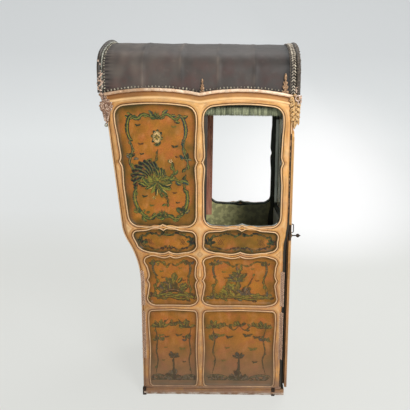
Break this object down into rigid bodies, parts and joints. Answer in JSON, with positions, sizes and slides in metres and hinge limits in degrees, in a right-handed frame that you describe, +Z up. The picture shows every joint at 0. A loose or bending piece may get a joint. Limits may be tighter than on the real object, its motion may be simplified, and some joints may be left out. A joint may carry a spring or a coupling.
{
  "type": "sedan chair",
  "caption": "Carried one-seat cabin of gilt carved frames and lacquered panels, with a hinged front door, open side windows and a hinged leather-covered vaulted roof.",
  "frame": {"origin": "on the floor under the middle of the overall box", "axes": "+X to the front where the door is, +Y to the chair's left, +Z up"},
  "size_m": [0.932, 0.674, 1.713],
  "materials": {
    "gilt_wood": "carved wood, gesso and worn gilding",
    "lacquer_panel": "painted and varnished panel, aged",
    "plain_wood": "bare oiled wood",
    "dark_wood": "dark stained moulding",
    "roof_leather": "aged waxed leather",
    "green_damask": "woven damask",
    "green_velvet": "cut velvet",
    "window_glass": "clear pane",
    "iron": "forged, browned"
  },
  "bodies": {
    "cabin": {"rear_post_right": "gilt_wood", "rear_post_left": "gilt_wood", "middle_post_right": "gilt_wood", "middle_post_left": "gilt_wood", "front_post_right": "gilt_wood", "front_post_left": "gilt_wood", "cornice_rail_right": "gilt_wood", "cornice_rail_left": "gilt_wood", "side_rails_right": "gilt_wood", "side_rails_left": "gilt_wood", "back_rails": "gilt_wood", "base_frame": "gilt_wood", "front_header": "gilt_wood", "end_cornices": "gilt_wood", "corner_carvings": "gilt_wood", "cornice_finials": "gilt_wood", "upper_panel_right": "lacquer_panel", "upper_panel_left": "lacquer_panel", "lower_panels_right": "lacquer_panel", "lower_panels_left": "lacquer_panel", "back_panels": "lacquer_panel", "side_lining_right": "green_damask", "side_lining_left": "green_damask", "back_lining": "green_damask", "seat_cushion": "green_velvet", "seat_board": "plain_wood", "seat_riser": "plain_wood", "floor_board": "plain_wood", "iron_feet": "iron", "latch_keeper": "iron", "door_hinge_pins": "iron", "roof_hinge_pins": "iron", "pole_bolts": "iron"},
    "door": {"door_stiles": "gilt_wood", "door_rails": "gilt_wood", "door_panels": "lacquer_panel", "door_glass": "window_glass", "door_lining": "green_damask", "door_latch": "iron", "door_hinge_leaves": "iron"},
    "roof": {"roof_vault": "roof_leather", "rear_pediment_frame": "dark_wood", "front_pediment_frame": "dark_wood", "rear_pediment_board": "roof_leather", "front_pediment_board": "roof_leather", "roof_hinge_leaves": "iron"}
  },
  "joints": [
    {"name": "door_swing", "type": "hinge", "parent": "cabin", "child": "door", "pos_m": [0.415, 0.325, 0.73], "axis": [0, 0, 1], "range_deg": [0, 100]},
    {"name": "roof_lift", "type": "hinge", "parent": "cabin", "child": "roof", "pos_m": [-0.4615, 0, 1.44675], "axis": [0, -1, 0], "range_deg": [0, 75]}
  ]
}
